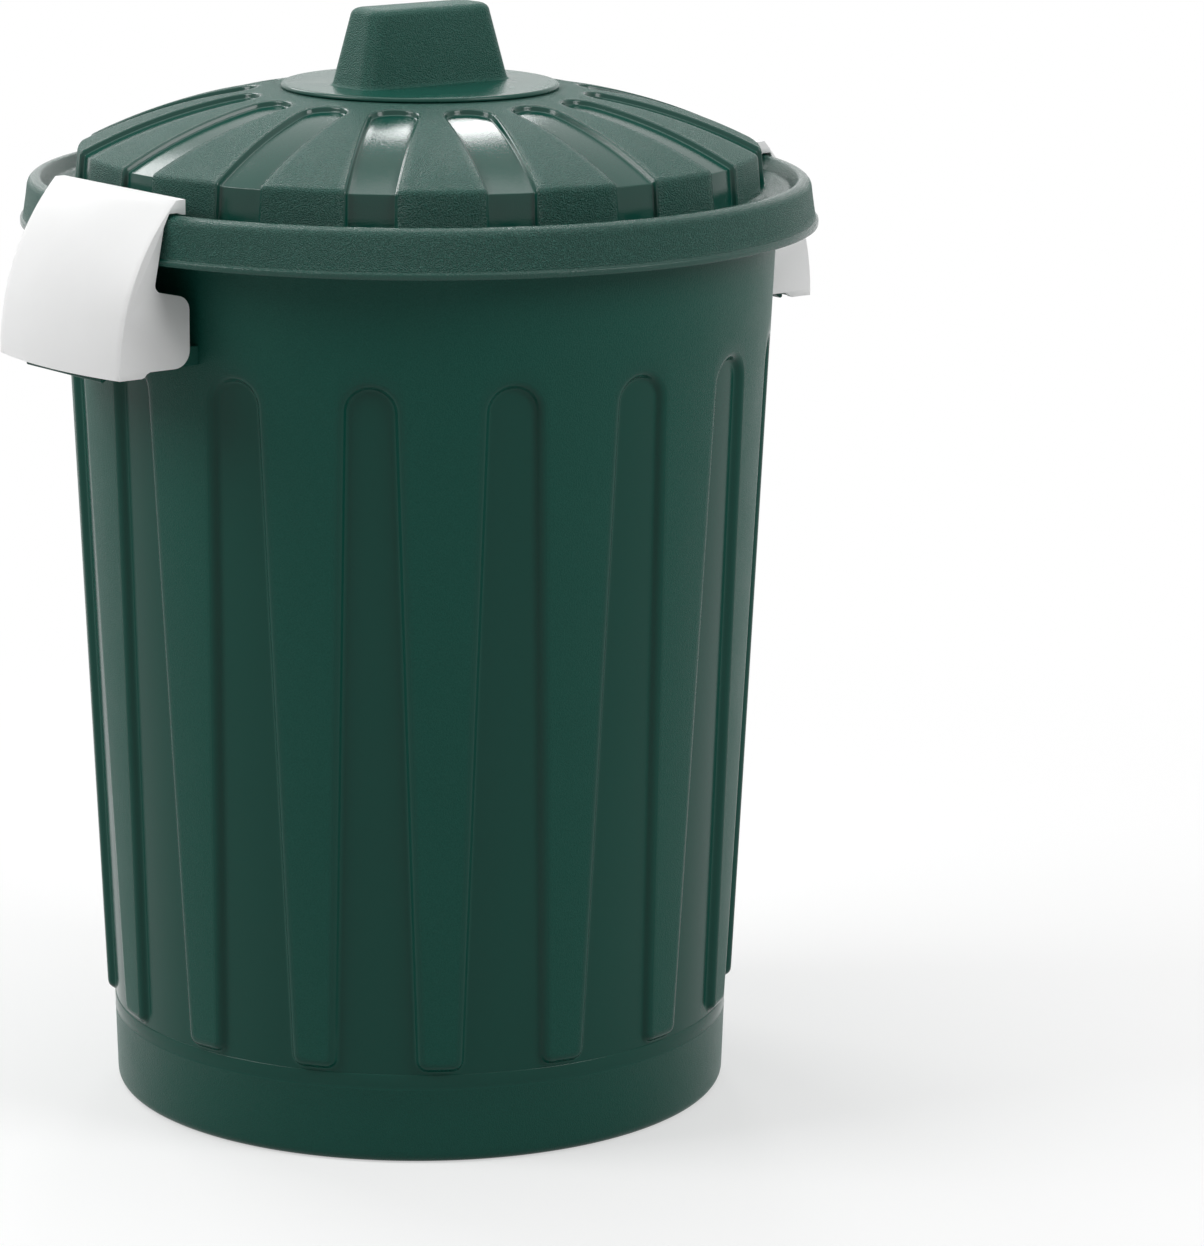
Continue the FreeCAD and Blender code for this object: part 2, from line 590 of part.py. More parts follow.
def clip_outline(body, name):
    """Side view of a clip: hook, notch round the lid's rim, rounded tab, stepped bottom."""
    at_cheek = "sqrt(%s ^ 2 - shared.clip_inside ^ 2)"
    lip_x = at_cheek % "shared.lip_radius"
    band_x = at_cheek % "shared.band_top"
    crest_x = at_cheek % "shared.crest_inner"
    over_crest = "shared.crest_height + sizes.notch_gap"
    far_x = "shared.clip_bottom_radius + sizes.clip_wall"
    tab_x = "sizes.tub_top_radius - sizes.tab_inset"
    tab_low = "sizes.lip_height - sizes.tab_bottom_drop"
    notch_low = "sizes.lip_height - sizes.notch_drop"
    heel_x = "shared.pivot_x - sizes.heel_inset"
    corners = [
        ("shared.hook_reach + sizes.hook_catch", "shared.clip_top + sizes.clip_wall"),
        ("shared.hook_reach", "shared.hook_bottom"),
        ("shared.hook_reach + sizes.clip_wall", "shared.hook_bottom"),
        (crest_x, over_crest),
        (band_x + " - sizes.notch_side_gap", over_crest),
        (band_x + " + sizes.notch_side_gap", "shared.crest_height - sizes.crest_round"),
        (lip_x + " + sizes.notch_open", notch_low),
        (tab_x, notch_low + " - sizes.tab_slope"),
        (tab_x, tab_low),
        (heel_x + " - sizes.heel_drop", tab_low),
        (heel_x, tab_low + " - sizes.heel_drop"),
        (far_x, tab_low + " - sizes.heel_drop"),
        (far_x, "shared.clip_top + sizes.clip_wall"),
    ]
    return outline_sketch(body, name, "XZ_Plane", corners)


def edges_across(shape, x, z):
    """Names of the straight edges that run across a clip at a reach and height."""
    names = []
    for index, edge in enumerate(shape.Edges, start=1):
        ends = [vertex.Point for vertex in edge.Vertexes]
        if len(ends) == 2 and all(abs(p.x - x) < 0.01 and abs(p.z - z) < 0.01 for p in ends):
            names.append("Edge%d" % index)
    return names


def clip_block(name):
    """The clip's side view carried across its full width, with its corners rounded."""
    body = doc.addObject("PartDesign::Body", name)
    outline = clip_outline(body, name + "_outline")
    block = body.newObject("PartDesign::Pad", name + "_pad")
    block.Profile = outline
    block.SideType = "Symmetric"
    block.setExpression("Length", "2 * sizes.clip_half_width")
    doc.recompute()
    notch_x = number("sqrt(shared.lip_radius ^ 2 - shared.clip_inside ^ 2) + sizes.notch_open")
    notch_z = number("sizes.lip_height - sizes.notch_drop")
    tab_x = number("sizes.tub_top_radius - sizes.tab_inset")
    tab_top = number("sizes.lip_height - sizes.notch_drop - sizes.tab_slope")
    tab_low = number("sizes.lip_height - sizes.tab_bottom_drop")
    corners = [(notch_x, notch_z, "sizes.notch_round"), (tab_x, tab_top, "sizes.tab_round"),
               (tab_x, tab_low, "sizes.tab_round")]
    for index, (x, z, rounding) in enumerate(corners):
        edges = edges_across(body.Tip.Shape, x, z)
        add_fillet(body, "%s_round_%d" % (name, index), edges, rounding)
    return body


def clip_sweep(name, inset, flat):
    """The clip's curved outer skin, turned about the bin's axis so that it follows the rim."""
    corners = [
        ("shared.hook_reach - sizes.hook_inset", "shared.clip_bottom"),
        ("shared.clip_bottom_radius - " + inset, "shared.clip_bottom",
         "sizes.clip_skin_arc - " + inset, -1),
        ("shared.clip_top_radius - %s * %s" % (inset, flat), "shared.clip_top - " + inset),
        ("shared.hook_reach - sizes.hook_inset", "shared.clip_top - " + inset),
    ]
    return turned_body(name, corners)


def make_clip(name, turn):
    """A clip handle: curved skin, flat hook, two cheeks and their stub pins, as one moulding."""
    wall = "sizes.clip_wall"
    outside = joined("Part::Common", name + "_outside", [
        clip_block(name + "_block"),
        clip_sweep(name + "_skin_outside", "0", "0"),
    ])
    # the room between the cheeks reaches in to the hook, and under the hook to past the tabs
    rooms = []
    for tag, inner, top in (("behind_hook", "shared.hook_reach + " + wall, "shared.clip_top"),
                            ("under_hook", "shared.hook_reach - sizes.hook_inset",
                             "shared.hook_bottom")):
        rooms.append(placed(
            "Part::Box", "%s_room_%s" % (name, tag),
            {"Length": "shared.clip_bottom_radius", "Width": "2 * shared.clip_inside",
             "Height": "%s - shared.clip_bottom" % top},
            (inner, "-shared.clip_inside", "shared.clip_bottom")))
    inside = joined("Part::Common", name + "_inside", [
        joined("Part::MultiFuse", name + "_room", rooms),
        clip_sweep(name + "_skin_inside", wall, "sizes.clip_corner_share"),
    ])
    shell = joined("Part::Cut", name + "_shell", [outside, inside])
    pins = []
    for tag, side in (("front", -1), ("back", 1)):
        pin = doc.addObject("Part::Cylinder", "%s_pin_%s" % (name, tag))
        across = FreeCAD.Rotation(FreeCAD.Vector(1, 0, 0), -90 * side)
        pin.Placement = FreeCAD.Placement(FreeCAD.Vector(), across)
        pin.setExpression("Radius", "sizes.pin_radius")
        pin.setExpression("Height", "sizes.pin_length + %s / 2" % wall)
        pin.setExpression("Placement.Base.x", "shared.pivot_x")
        pin.setExpression("Placement.Base.y", "%d * (shared.clip_inside - sizes.pin_length)" % side)
        pin.setExpression("Placement.Base.z", "shared.pivot_z")
        pins.append(pin)
    clip = joined("Part::MultiFuse", name, [shell] + pins)
    clip.Placement = FreeCAD.Placement(FreeCAD.Vector(),
                                       FreeCAD.Rotation(FreeCAD.Vector(0, 0, 1), turn))
    return clip


# ---------------------------------------------------------------- build, check and write

PARTS = {
    "tub": make_tub(),
    "lid": make_lid(),
    "lid_grip": make_grip(),
    "handle_right": make_clip("handle_right", 0),
    "handle_left": make_clip("handle_left", 180),
}
doc.recompute()

for thing in doc.Objects:
    if "Invalid" in thing.State or "Error" in thing.State:
        raise RuntimeError("%s did not build: %s" % (thing.Name, thing.State))

os.makedirs("parts", exist_ok=True)
for label, part in PARTS.items():
    part.Label = label
    shape = part.Shape
    if shape.isNull() or not shape.isValid() or len(shape.Solids) != 1:
        raise RuntimeError("%s is not one valid solid" % label)
    shape.exportStep("parts/%s.step" % label)
    box = shape.BoundBox
    print("%-13s %9.1f mm3  x %.1f..%.1f  y %.1f..%.1f  z %.1f..%.1f" % (
        label, shape.Volume, box.XMin, box.XMax, box.YMin, box.YMax, box.ZMin, box.ZMax))
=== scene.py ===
import bmesh
import bpy
import math
from mathutils import Matrix, Vector


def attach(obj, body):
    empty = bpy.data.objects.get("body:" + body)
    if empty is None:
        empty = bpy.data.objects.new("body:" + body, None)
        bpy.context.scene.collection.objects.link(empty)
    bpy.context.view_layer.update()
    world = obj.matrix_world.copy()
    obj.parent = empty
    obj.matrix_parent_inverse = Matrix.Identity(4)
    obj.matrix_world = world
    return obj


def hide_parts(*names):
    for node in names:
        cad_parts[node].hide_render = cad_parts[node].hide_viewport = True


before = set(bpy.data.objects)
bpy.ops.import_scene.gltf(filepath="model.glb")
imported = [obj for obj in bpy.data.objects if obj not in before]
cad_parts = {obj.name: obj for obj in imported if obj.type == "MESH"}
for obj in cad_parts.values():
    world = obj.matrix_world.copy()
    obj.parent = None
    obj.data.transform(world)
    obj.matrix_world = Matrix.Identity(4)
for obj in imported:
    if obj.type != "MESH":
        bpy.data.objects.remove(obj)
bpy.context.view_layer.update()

# ---------------------------------------------------------------- tub
# The tapered tub, injection moulded in dark green polypropylene. Sixteen flutes run down it,
# its rim flares out under the lid and turns down, and it stands on a ring round its foot.
# One flute's panel is meshed, repeated round the axis and given its wall.

FLUTES = 16
PITCH = 2 * math.pi / FLUTES
WALL = 2.4
LIP = 468.0
RIB_FOOT = 52.4
RIB_FOOT_RADIUS = 169.8
TAPER = 18.4 / (LIP - RIB_FOOT)
RIM_TOP = 483.5
RIM_UNDER = RIM_TOP - WALL
FLUTE_DEPTH = 4.0
FLUTE_FOOT = 49.7
FLUTE_ARCH = 408.3
FLUTE_LOW_HALF = 20.0
FLUTE_TOP_HALF = 11.8
PANEL_FOOT = 48.2
PANEL_TOP = RIM_UNDER - 1.5
CORNER_SHARE = 0.4
MERGE_GAP = 0.00002
PLASTIC_IOR = 1.49

GREEN = (0.0035, 0.064, 0.046, 1.0)
# the paler green for the grain's tops is a painted glint, not the plastic's own colour
GRAIN_TOP_PAINTED_GLINT = (0.03, 0.135, 0.105, 1.0)


def rib_radius(z):
    """Radius of the ribs' outer surface at a height."""
    return RIB_FOOT_RADIUS + (z - RIB_FOOT) * TAPER


def mesh_object(name, points, faces):
    """A mesh object from points in millimetres."""
    mesh = bpy.data.meshes.new(name)
    mesh.from_pydata([(x * 0.001, y * 0.001, z * 0.001) for x, y, z in points], [], faces)
    made = bpy.data.objects.new(name, mesh)
    bpy.context.scene.collection.objects.link(made)
    return made


def grid_faces(rows, columns):
    """Faces of a grid of points listed row by row."""
    return [(r * columns + c, r * columns + c + 1,
             (r + 1) * columns + c + 1, (r + 1) * columns + c)
            for r in range(rows - 1) for c in range(columns - 1)]


def clean_mesh(mesh, gap=0.00001, outwards=None):
    """Merges doubles and gives the faces one side: outwards, when given, maps a face's centre and
    normal to a number that is positive where the face points the right way."""
    work = bmesh.new()
    work.from_mesh(mesh)
    bmesh.ops.remove_doubles(work, verts=work.verts, dist=gap)
    bmesh.ops.dissolve_degenerate(work, edges=work.edges, dist=gap)
    bmesh.ops.recalc_face_normals(work, faces=work.faces)
    if outwards:
        total = sum(outwards(face.calc_center_median(), face.normal) * face.calc_area()
                    for face in work.faces)
        if total < 0:
            bmesh.ops.reverse_faces(work, faces=work.faces)
    work.to_mesh(mesh)
    work.free()


def blended_row(start, stop, share):
    """A row of points at a share of the way from one row to another."""
    return [tuple(a + (b - a) * share for a, b in zip(*ends)) for ends in zip(start, stop)]


def rounded_step(low, high, depth, soft_low, soft_high):
    """Rows across a moulded step: (offset from its outline, depth), with both edges rounded."""
    run = math.hypot(high - low, depth)
    slope = ((high - low) / run, -depth / run)
    corners = [((low - soft_low, depth), (low, depth),
                (low + slope[0] * soft_low, depth + slope[1] * soft_low)),
               ((high - slope[0] * soft_high, -slope[1] * soft_high), (high, 0.0),
                (high + soft_high, 0.0))]
    rows = []
    for first, middle, last in corners:
        for share in (0.0, 0.33, 0.67, 1.0):
            ahead = 1.0 - share
            rows.append(tuple(ahead * ahead * a + 2 * ahead * share * b + share * share * c
                              for a, b, c in zip(first, middle, last)))
    return rows


def flute_outline(offset):
    """Outline of a flute from the rib's middle at its foot to the arch: (angle or None, y, z)."""
    low_half, top_half = FLUTE_LOW_HALF + offset, FLUTE_TOP_HALF + offset
    foot, arch = FLUTE_FOOT + offset, FLUTE_ARCH + offset
    corner = max(6.5 - offset, 2.4)
    spring = arch - top_half
    start = math.asin((low_half + corner) / (rib_radius(foot) - 2.0))
    points = [(PITCH / 2 + (start - PITCH / 2) * share, None, foot) for share in (0, 0.35, 0.7)]
    for step in range(6):
        turn = math.radians(18 * step)
        points.append((None, low_half + corner * (1 - math.sin(turn)),
                       foot + corner * (1 - math.cos(turn))))
    for step in range(1, 24):
        share = step / 24
        points.append((None, low_half + (top_half - low_half) * share,
                       foot + corner + (spring - foot - corner) * share))
    for step in range(11):
        turn = math.radians(9 * step)
        points.append((None, top_half * math.cos(turn), spring + top_half * math.sin(turn)))
    return points


def on_tub(angle, y, z, depth):
    """(angle, radius, z) of a point of the tub's wall, its place given by an angle or a y."""
    radius = rib_radius(z) - depth
    if angle is None:
        angle = math.asin(min(1.0, y / radius)) if y else 0.0
    return (angle, radius, z)


def half_panel():
    """Rows from the flute's middle line out to the rib's middle line, as long as the outline.
    The outer edge has its upper corner at CORNER_SHARE of the arch's points."""
    rows = [[on_tub(*point, depth) for point in flute_outline(offset)]
            for offset, depth in rounded_step(0.0, 2.7, FLUTE_DEPTH, 1.2, 2.3)]
    count = len(rows[0])
    foot_points, side_points = 9, 32
    floor_low, floor_high = 48.9, 390.0
    rib_low, rib_high = 77.8, 404.0
    inner, outer = [], []
    for index in range(count):
        angle, z = 0.0, floor_low + (index - foot_points) * (floor_high - floor_low) / 22
        if index < foot_points:  # along the flute's foot
            angle, z = PITCH / 2 * (1 - index / 8), PANEL_FOOT
            outer.append((PITCH / 2, 57.0 + 2.6 * index))
        elif index < side_points:  # up its side
            outer.append((PITCH / 2, rib_low + (index - 8) * (rib_high - rib_low) / 23))
        else:  # round its arch
            share = (index - side_points) / (count - 33)
            z = floor_high + 13.0 * (index - 31) / (count - side_points)
            if share <= CORNER_SHARE:
                z_outer = rib_high + (PANEL_TOP - rib_high) * share / CORNER_SHARE
                outer.append((PITCH / 2, z_outer))
            else:
                outer.append((PITCH / 2 * (1 - share) / (1 - CORNER_SHARE), PANEL_TOP))
        inner.append((angle, rib_radius(z) - FLUTE_DEPTH, z))
    outer = [(angle, rib_radius(z), z) for angle, z in outer]
    floors = [blended_row(inner, rows[0], share) for share in (0.0, 0.3, 0.6, 0.85)]
    ribs = [blended_row(rows[-1], outer, share) for share in (0.12, 0.35, 0.65, 1.0)]
    floors = [[(angle, rib_radius(z) - FLUTE_DEPTH, z) for angle, _, z in row] for row in floors]
    ribs = [[(angle, rib_radius(z), z) for angle, _, z in row] for row in ribs]
    return floors + rows + ribs


def extended(edge, profile):
    """Rows that carry an edge of (angle, radius, z) points on along a profile of (radius, z)."""
    return [edge] + [[(angle, radius, z) for angle, _, _ in edge] for radius, z in profile]


def arc_profile(centre, radius, start, stop, steps):
    """Points of an arc in a section, angles in degrees from straight outwards, anticlockwise."""
    turns = [math.radians(start + (stop - start) * step / steps) for step in range(steps + 1)]
    return [(centre[0] + radius * math.cos(t), centre[1] + radius * math.sin(t)) for t in turns]


def mark_polish(mesh, values):
    """A number per point for the material: 1 on polished surfaces, 0 on grained ones."""
    mesh.attributes.new("polish", "FLOAT", "POINT").data.foreach_set("value", values)


def sector_object(name, grids, marks):
    """One sector's mesh from half grids of (angle, radius, z), mirrored to the other half.
    marks gives each grid a number per point: 1 on the smooth floors, 0 on the grained ribs."""
    points, faces, values = [], [], []
    for side in (1, -1):
        for grid, mark in zip(grids, marks):
            start = len(points)
            for row, row_mark in zip(grid, mark):
                for angle, radius, z in row:
                    turn = side * angle
                    points.append((radius * math.cos(turn), radius * math.sin(turn), z))
                    values.append(row_mark)
            faces += [tuple(start + i for i in face)
                      for face in grid_faces(len(grid), len(grid[0]))]
    made = mesh_object(name, points, faces)
    mark_polish(made.data, values)
    clean_mesh(made.data)
    return made


def repeat_tree():
    """Node tree that repeats a sector round the upright axis and joins the copies."""
    tree = bpy.data.node_groups.new("repeat_round_the_axis", "GeometryNodeTree")
    tree.is_modifier = True
    face = tree.interface
    face.new_socket("Geometry", in_out="INPUT", socket_type="NodeSocketGeometry")
    face.new_socket("Copies", in_out="INPUT", socket_type="NodeSocketInt")
    face.new_socket("Merge Distance", in_out="INPUT", socket_type="NodeSocketFloat")
    face.new_socket("Material", in_out="INPUT", socket_type="NodeSocketMaterial")
    face.new_socket("Geometry", in_out="OUTPUT", socket_type="NodeSocketGeometry")
    add, link = tree.nodes.new, tree.links.new
    given, out = add("NodeGroupInput"), add("NodeGroupOutput")
    spots, index = add("GeometryNodePoints"), add("GeometryNodeInputIndex")
    share, angle = add("ShaderNodeMath"), add("ShaderNodeMath")
    share.operation, angle.operation = "DIVIDE", "MULTIPLY"
    angle.inputs[1].default_value = 2 * math.pi
    turn, place = add("ShaderNodeCombineXYZ"), add("GeometryNodeInstanceOnPoints")
    real, merge = add("GeometryNodeRealizeInstances"), add("GeometryNodeMergeByDistance")
    finish = add("GeometryNodeSetMaterial")
    link(given.outputs["Copies"], spots.inputs["Count"])
    link(index.outputs[0], share.inputs[0])
    link(given.outputs["Copies"], share.inputs[1])
    link(share.outputs[0], angle.inputs[0])
    link(angle.outputs[0], turn.inputs["Z"])
    link(spots.outputs[0], place.inputs["Points"])
    link(given.outputs["Geometry"], place.inputs["Instance"])
    link(turn.outputs[0], place.inputs["Rotation"])
    link(place.outputs[0], real.inputs[0])
    link(real.outputs[0], merge.inputs["Geometry"])
    link(given.outputs["Merge Distance"], merge.inputs["Distance"])
    link(merge.outputs[0], finish.inputs["Geometry"])
    link(given.outputs["Material"], finish.inputs["Material"])
    link(finish.outputs[0], out.inputs[0])
    return tree


ROUND = repeat_tree()


def apply_modifier(thing, modifier):
    """Makes a modifier's result the thing's plain mesh."""
    ready = thing.evaluated_get(bpy.context.evaluated_depsgraph_get())
    mesh = bpy.data.meshes.new_from_object(ready)
    thing.modifiers.remove(modifier)
    thing.data = mesh


def repeated(sector, copies, material, outwards):
    """The sector repeated round the axis as one plain mesh with its faces pointing outwards."""
    modifier = sector.modifiers.new("round", "NODES")
    modifier.node_group = ROUND
    values = {"Copies": copies, "Merge Distance": MERGE_GAP, "Material": material}
    for item in ROUND.interface.items_tree:
        if item.in_out == "INPUT" and item.name in values:
            modifier[item.identifier] = values[item.name]
    apply_modifier(sector, modifier)
    clean_mesh(sector.data, MERGE_GAP, outwards)
    return sector


def shade_smooth(thing, degrees):
    """Smooth shading with edges over an angle kept sharp."""
    work = bmesh.new()
    work.from_mesh(thing.data)
    limit = math.radians(degrees)
    for face in work.faces:
        face.smooth = True
    for edge in work.edges:
        edge.smooth = len(edge.link_faces) == 2 and edge.calc_face_angle(0.0) < limit
    work.to_mesh(thing.data)
    work.free()


def give_wall(thing, thickness):
    """Turns an outer skin into a wall, inwards from it."""
    solid = thing.modifiers.new("wall", "SOLIDIFY")
    solid.thickness = thickness * 0.001
    solid.offset = -1.0
    solid.use_even_offset = True
    solid.use_quality_normals = True
    apply_modifier(thing, solid)


def fill_inputs(tree, node, inputs):
    """Sets a node's inputs by name or number, each from a plain value or another node's output."""
    for name, value in inputs.items():
        if isinstance(value, bpy.types.NodeSocket):
            tree.links.new(value, node.inputs[name])
        else:
            node.inputs[name].default_value = value


def add_node(tree, kind, output, inputs, **settings):
    """Adds a node with its settings and inputs, and returns the named output."""
    node = tree.nodes.new(kind)
    for name, value in settings.items():
        setattr(node, name, value)
    fill_inputs(tree, node, inputs)
    return node.outputs[output]


def noise(tree, vector, scale, detail=2.0):
    """A noise texture's value."""
    return add_node(tree, "ShaderNodeTexNoise", "Fac",
                    {"Vector": vector, "Scale": scale, "Detail": detail})


def colour_mix(tree, factor, first, second):
    """A colour between two others."""
    return add_node(tree, "ShaderNodeMix", "Result", {"Factor": factor, "A": first, "B": second},
                    data_type="RGBA")


def times(tree, first, second):
    """The product of two values."""
    return add_node(tree, "ShaderNodeMath", 0, {0: first, 1: second}, operation="MULTIPLY")


def times_plus(tree, value, factor, extra):
    """A value multiplied by a factor, plus an extra."""
    return add_node(tree, "ShaderNodeMath", 0, {0: value, 1: factor, 2: extra},
                    operation="MULTIPLY_ADD")


def bumped(tree, height, strength, distance):
    """The normal of a surface raised by a height."""
    return add_node(tree, "ShaderNodeBump", 0,
                    {"Strength": strength, "Distance": distance, "Height": height})


def moulded_green(name, grain_and_glint, rib_rough, floor_rough, gloss):
    """Dark green polypropylene: ribs with a fine spark-eroded grain, polished floors between. The
    grain's tops are painted paler as glints, and the grain factor scales both the bump and these
    painted glints.
    """
    material = bpy.data.materials.new(name)
    material.use_nodes = True
    tree = material.node_tree
    where = add_node(tree, "ShaderNodeTexCoord", "Object", {})
    polish = add_node(tree, "ShaderNodeAttribute", "Fac", {}, attribute_name="polish")
    # colour: slow clouds drawn out along the height, and pale specks on the grain's tops, which
    # are painted glints
    flow = add_node(tree, "ShaderNodeMapping", 0, {"Vector": where, "Scale": (1.0, 1.0, 0.25)})
    dark, pale = (tuple(c * level for c in GREEN[:3]) + (1.0,) for level in (0.9, 1.12))
    tone = colour_mix(tree, noise(tree, flow, 9.0, 5.0), dark, pale)
    fine = noise(tree, where, 1450.0, 1.0)
    specks = add_node(tree, "ShaderNodeMapRange", "Result",
                      {"Value": fine, "From Min": 0.32, "From Max": 0.68})
    height = times(tree, specks, times_plus(tree, polish, -0.98, 1.0))
    # painted glints: the grain's tops are coloured paler, less where the surface is polished
    colour_with_painted_glints = colour_mix(tree, times(tree, height, grain_and_glint), tone, GRAIN_TOP_PAINTED_GLINT)
    # roughness: from the ribs' to the floors', with soft rub marks
    rough = add_node(tree, "ShaderNodeMapRange", "Result",
                     {"Value": polish, "To Min": rib_rough, "To Max": floor_rough})
    worn = times_plus(tree, noise(tree, where, 38.0, 6.0), 0.12, rough)
    fill_inputs(tree, tree.nodes["Principled BSDF"], {
        "IOR": PLASTIC_IOR, "Specular IOR Level": gloss, "Base Color": colour_with_painted_glints, "Roughness": worn,
        "Normal": bumped(tree, height, grain_and_glint, 0.0011)})
    return material


tub_green = moulded_green("tub_satin_green", grain_and_glint=0.2, rib_rough=0.36, floor_rough=0.12,
                          gloss=0.16)

panel = half_panel()
panel_marks = [1.0] * 11 + [0.5] + [0.0] * 4
foot_edge = panel[0][:9]
# the parting line, the base band, the foot's ring and the recess inside it
foot_profile = ([(165.85, 48.05), (166.0, 47.6), (165.85, 42.0), (165.8, 40.4), (165.9, 40.0),
                 (165.8, 39.6), (165.3, 22.0), (164.85, 7.0)]
                + arc_profile((159.75, 5.0), 5.0, -4, -90, 7)
                + [(150.0, 0.0), (149.0, 0.3), (148.5, 1.0), (148.4, 3.4), (147.8, 4.0),
                   (110.0, 4.0), (60.0, 4.0), (20.0, 4.0), (3.0, 4.0)])
foot_marks = [1.0] * 5 + [0.35] * (len(foot_profile) - 4)
top_edge = [point for point in panel[-1] if abs(point[2] - PANEL_TOP) < 0.01]
# the rim flares out under the lid's band and turns down
rim_profile = [(189.2, 480.6), (190.3, RIM_UNDER), (195.0, RIM_UNDER), (199.6, RIM_UNDER),
               (200.3, 480.8), (200.6, 480.0), (200.6, 475.0), (200.6, 470.5)]
grids = [panel, extended(foot_edge, foot_profile), extended(top_edge, rim_profile)]
tub = sector_object("tub_shell", grids, [panel_marks, foot_marks, [0.0] * (1 + len(rim_profile))])


def away_from_axis(centre, normal):
    """Positive where a face of the upright wall points away from the axis."""
    below_rim, beyond_foot = centre.z < 0.47, math.hypot(centre.x, centre.y) > 0.155
    return centre.x * normal.x + centre.y * normal.y if below_rim and beyond_foot else 0.0


tub = repeated(tub, FLUTES, tub_green, away_from_axis)
shade_smooth(tub, 50)
give_wall(tub, WALL)
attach(tub, "tub")
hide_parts("tub")

# ---------------------------------------------------------------- tub ears
# The two hinge ears, moulded on the tub under its rim: a shelf with a web at each end, a bored
# round bar along the outer edge that the clips' stub pins snap into, and a lip under the bar
# that shows as a dark line below the clip.

PIVOT = (217.0, 419.0)
EAR_HALF = 51.8
EAR_PLATE = 3.0
EAR_BAR_RADIUS = 6.4
EAR_BORE_RADIUS = 3.28
EAR_ROOT_RADIUS = 185.0
EAR_LIP = ((217.5, 412.9), (224.0, 408.4), (225.4, 409.0), (225.0, 416.5), (222.5, 418.8))
EAR_LIP_HALF = 34.0


def prism(outline, low, high, axis):
    """Points and faces of an outline of (a, b) carried from low to high along y or z."""
    count = len(outline)
    ends = [[(a, level, b) if axis == "y" else (a, b, level) for a, b in outline]
            for level in (low, high)]
    faces = [tuple(range(count)), tuple(range(2 * count - 1, count - 1, -1))]
    faces += [(i, (i + 1) % count, count + (i + 1) % count, count + i) for i in range(count)]
    return ends[0] + ends[1], faces


def tube_along_y(centre, profile, steps):
    """A section of (radius, y) points turned about a line along y, as a ring or, from radius 0,
    as a rod."""
    points = []
    for step in range(steps):
        turn = 2 * math.pi * step / steps
        points += [(centre[0] + radius * math.cos(turn), y, centre[1] + radius * math.sin(turn))
                   for radius, y in profile]
    count = len(profile)
    sides = count if profile[0][0] else count - 1
    faces = [(s * count + c, s * count + (c + 1) % count,
              ((s + 1) % steps) * count + (c + 1) % count, ((s + 1) % steps) * count + c)
             for s in range(steps) for c in range(sides)]
    return points, faces


def gathered(pieces):
    """Points and faces of several pieces in one list."""
    points, faces = [], []
    for piece_points, piece_faces in pieces:
        faces += [tuple(len(points) + i for i in face) for face in piece_faces]
        points += piece_points
    return points, faces


def soft_edges(thing, width, degrees=35):
    """Small rounded edges, as on every moulding."""
    bevel = thing.modifiers.new("edges", "BEVEL")
    bevel.width = width * 0.001
    bevel.segments = 3
    bevel.limit_method = "ANGLE"
    bevel.angle_limit = math.radians(degrees)
    bevel.harden_normals = True
    apply_modifier(thing, bevel)


def ear_pieces(side):
    """Shelf, bar, lip and the two webs of the ear on one side, 1 or -1."""
    top = PIVOT[1] + EAR_BAR_RADIUS
    web_low, web_top = PIVOT[1] - 3.4, top - 0.1
    shelf_edge = PIVOT[0] - 0.2
    root = [(math.sqrt(EAR_ROOT_RADIUS ** 2 - y * y), y)
            for y in [EAR_HALF * (step / 10 - 1) for step in range(21)]]
    root += [(shelf_edge, EAR_HALF - 0.1), (shelf_edge, 0.1 - EAR_HALF)]
    shelf = prism([(side * x, y) for x, y in root], top - EAR_PLATE, top, "z")
    outline = [(side * x, z) for x, z in ((178.4, web_low), (178.4, web_top), (216.0, web_top),
                                          (216.0, web_low))]
    webs = [prism(outline, low, low + EAR_PLATE, "y") for low in (-EAR_HALF, EAR_HALF - EAR_PLATE)]
    section = [(EAR_BAR_RADIUS, -EAR_HALF), (EAR_BAR_RADIUS, EAR_HALF),
               (EAR_BORE_RADIUS, EAR_HALF), (EAR_BORE_RADIUS, -EAR_HALF)]
    bar = tube_along_y((side * PIVOT[0], PIVOT[1]), section, 40)
    lip = prism([(side * x, z) for x, z in EAR_LIP], -EAR_LIP_HALF, EAR_LIP_HALF, "y")
    return [shelf, bar, lip] + webs


ears = mesh_object("tub_ears", *gathered(ear_pieces(1) + ear_pieces(-1)))
clean_mesh(ears.data)
shade_smooth(ears, 40)
soft_edges(ears, 0.5)
ears.data.materials.append(tub_green)
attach(ears, "tub")
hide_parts("tub")

# ---------------------------------------------------------------- lid
# The domed lid, moulded in the same green. Sixteen polished grooves run out over its shoulder
# into a gutter, between ribs with a fine grain, and its rim turns over the tub's with a lip.

LID_WALL = 2.2
GUTTER = 486.0
CREST = 492.5
WALL_FOOT_RADIUS = 181.3
WALL_TOP = (179.4, 507.0)
DOME_TOP = (74.0, 537.6)
DOME_RADIUS = 289.0
SHOULDER_INSIDE = 178.0
GROOVE_DEPTH = 2.8
GROOVE_HALF = 12.5
TIP_CENTRE = 99.5


def arc_between(start, stop, radius, steps):
    """Points of a section's arc from one point to another, bulging up and outwards."""
    (x0, z0), (x1, z1) = start, stop
    length = math.hypot(x1 - x0, z1 - z0)
    across = math.sqrt(radius ** 2 - length ** 2 / 4)
    nx, nz = (z1 - z0) / length, -(x1 - x0) / length
    if nz > 0:
        nx, nz = -nx, -nz
    centre = ((x0 + x1) / 2 + nx * across, (z0 + z1) / 2 + nz * across)
    first = math.atan2(z0 - centre[1], x0 - centre[0])
    last = math.atan2(z1 - centre[1], x1 - centre[0])
    return [(centre[0] + radius * math.cos(first + (last - first) * s / steps),
             centre[1] + radius * math.sin(first + (last - first) * s / steps))
            for s in range(steps + 1)]


